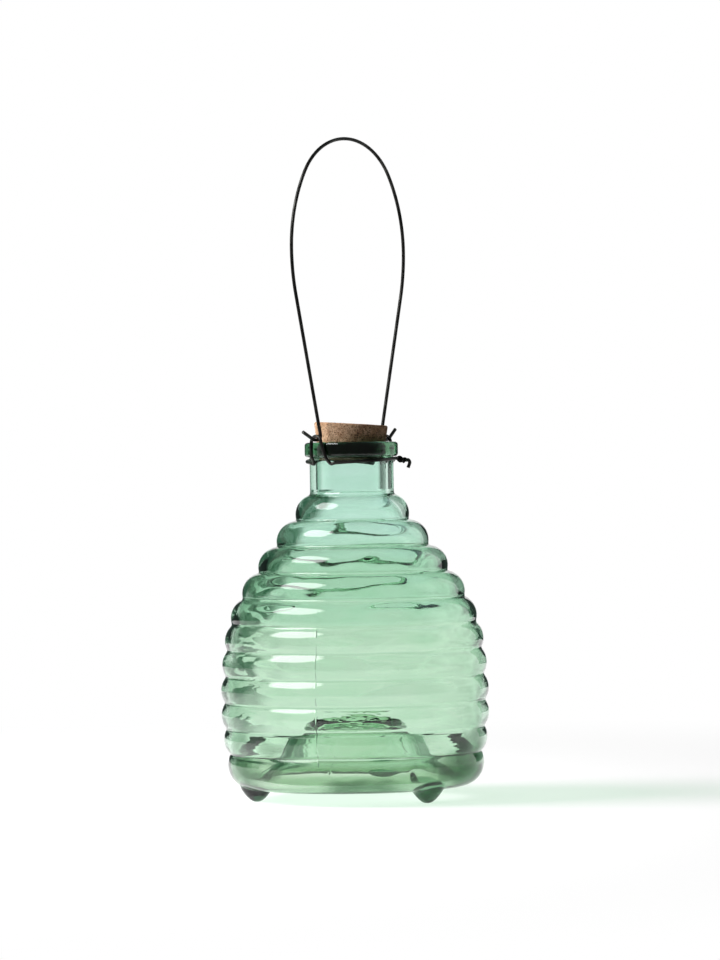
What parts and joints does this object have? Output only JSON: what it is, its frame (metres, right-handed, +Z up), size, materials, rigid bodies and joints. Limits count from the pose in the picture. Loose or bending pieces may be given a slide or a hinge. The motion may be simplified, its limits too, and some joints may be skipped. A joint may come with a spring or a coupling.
{
  "type": "glass fly trap",
  "caption": "Ribbed pale green glass fly trap with a funnel entry in its footed base, a cork in the neck and a swinging wire hanger.",
  "frame": {"origin": "on the bottle's axis, at the plane on which the feet stand", "axes": "+Z up along the bottle's axis, +X through the two wire ears towards the ear nearest the twisted wire ends, so the bail stands in the XZ plane"},
  "size_m": [0.1408, 0.1408, 0.3479],
  "materials": {
    "glass": "clear pale sea-green blown glass, glossy, slightly wavy",
    "cork": "matte speckled cork",
    "wire": "dark annealed iron wire, satin"
  },
  "bodies": {
    "bottle": {"glass_bottle": "glass", "foot_left": "glass", "foot_front": "glass", "foot_back": "glass", "neck_wire": "wire"},
    "cork": {"cork_stopper": "cork"},
    "bail": {"bail": "wire"}
  },
  "joints": [
    {"name": "bail_swing", "type": "hinge", "parent": "bottle", "child": "bail", "pos_m": [0, 0, 0.18857], "axis": [1, 0, 0], "range_deg": [-90, 90]},
    {"name": "cork_pull", "type": "slide", "parent": "bottle", "child": "cork", "axis": [0, 0, 1], "range_m": [0, 0.04]}
  ]
}
